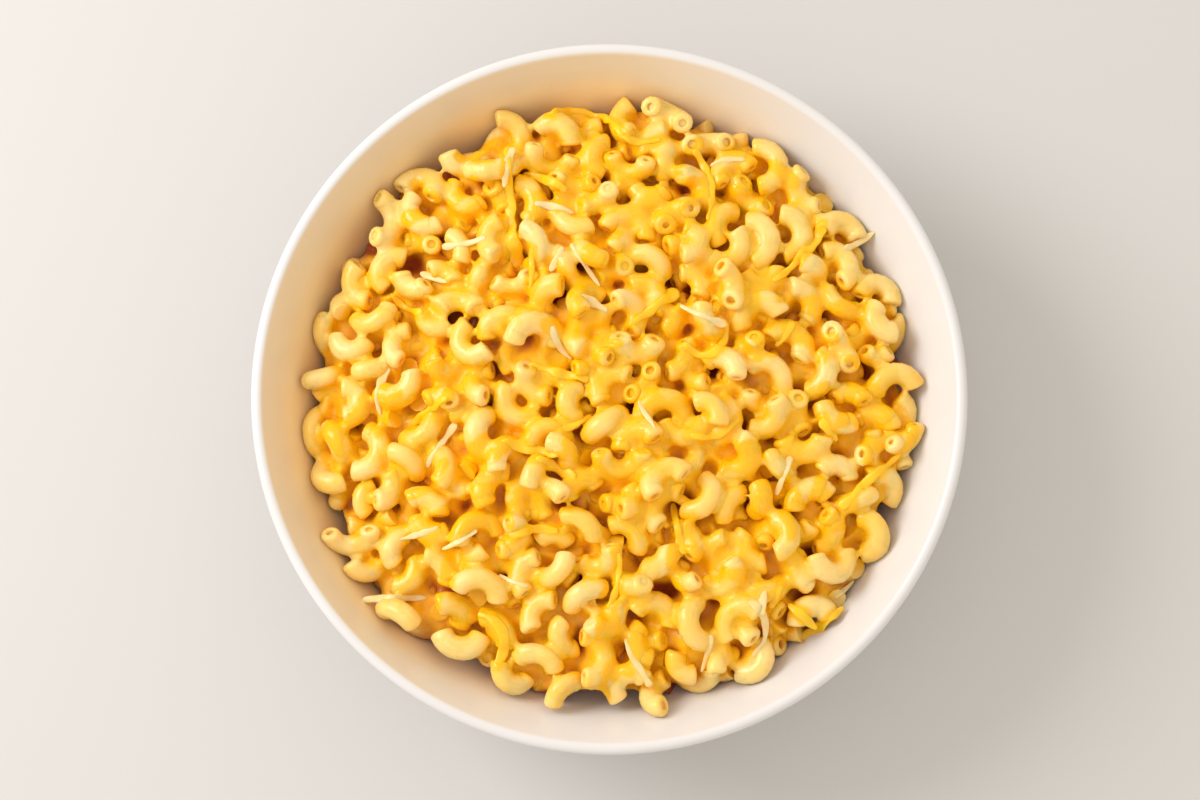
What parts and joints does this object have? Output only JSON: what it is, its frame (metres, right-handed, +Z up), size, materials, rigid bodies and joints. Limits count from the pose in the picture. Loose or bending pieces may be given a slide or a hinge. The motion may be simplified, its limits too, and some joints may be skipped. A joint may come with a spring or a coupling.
{
  "type": "bowl of macaroni and cheese",
  "caption": "Round white ceramic bowl with a foot ring, heaped with elbow macaroni in melted cheese sauce, topped with shredded cheese.",
  "frame": {"origin": "centre of the plane that the foot ring rests on", "axes": "+Z up along the bowl's axis; -Y towards the side that the camera is nearer to; +X to that camera's right"},
  "size_m": [0.23, 0.23, 0.0683],
  "materials": {
    "white_glaze": "glossy off-white glaze",
    "cheese_sauce": "soft moist pasta coated in golden cheese sauce, semi-gloss"
  },
  "bodies": {
    "root": {"bowl": "white_glaze", "macaroni_and_cheese": "cheese_sauce"}
  },
  "joints": []
}
